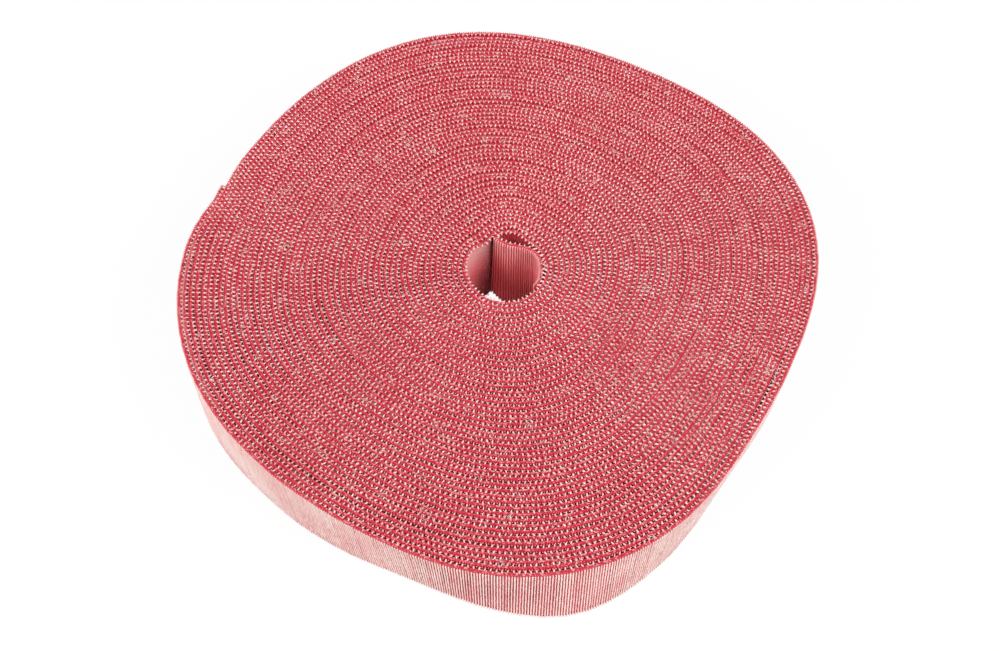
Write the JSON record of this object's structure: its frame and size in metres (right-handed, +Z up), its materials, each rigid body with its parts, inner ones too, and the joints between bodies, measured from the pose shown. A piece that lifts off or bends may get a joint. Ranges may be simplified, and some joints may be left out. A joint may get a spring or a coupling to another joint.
{
  "type": "hook and loop tape roll",
  "caption": "Coreless roll of red back-to-back hook and loop tape, wound in a slumped spiral round a folded inner tail, with a free outer end that peels off.",
  "frame": {"origin": "centre of the roll's box, on the surface that its lower edges lie on", "axes": "+Z up along the roll's axis and across the tape's width, +Y away from the viewer, +X to the right"},
  "size_m": [0.1646, 0.167, 0.025],
  "materials": {
    "hook_fabric": "woven ribs of pale pink hooks on a red ground",
    "loop_fabric": "red weave with a soft looped face"
  },
  "bodies": {
    "roll": {"hook_ply_winding": "hook_fabric", "loop_ply_winding": "loop_fabric"},
    "end_link_1": {"hook_ply_end_1": "hook_fabric", "loop_ply_end_1": "loop_fabric"},
    "end_link_2": {"hook_ply_end_2": "hook_fabric", "loop_ply_end_2": "loop_fabric"},
    "end_link_3": {"hook_ply_end_3": "hook_fabric", "loop_ply_end_3": "loop_fabric"},
    "inner_tail": {"hook_ply_tail": "hook_fabric", "loop_ply_tail": "loop_fabric"}
  },
  "joints": [
    {"name": "end_peel_1", "type": "hinge", "parent": "roll", "child": "end_link_1", "pos_m": [-0.0677, -0.04427, 0.0125], "axis": [0, 0, 1], "range_deg": [0, 25], "stiffness_Nm_per_rad": 0.002},
    {"name": "end_peel_2", "type": "hinge", "parent": "end_link_1", "child": "end_link_2", "pos_m": [-0.07925, -0.02345, 0.0125], "axis": [0, 0, 1], "range_deg": [0, 25], "stiffness_Nm_per_rad": 0.002},
    {"name": "end_peel_3", "type": "hinge", "parent": "end_link_2", "child": "end_link_3", "pos_m": [-0.08229, 0.00041, 0.0125], "axis": [0, 0, 1], "range_deg": [0, 25], "stiffness_Nm_per_rad": 0.002},
    {"name": "tail_bend", "type": "hinge", "parent": "roll", "child": "inner_tail", "pos_m": [-0.00108, 0.00827, 0.0125], "axis": [0, 0, 1], "range_deg": [-25, 0], "stiffness_Nm_per_rad": 0.002}
  ],
  "couplings": [
    {"joint": "end_peel_2", "follows": "end_peel_1", "ratio": 1},
    {"joint": "end_peel_3", "follows": "end_peel_1", "ratio": 1}
  ]
}
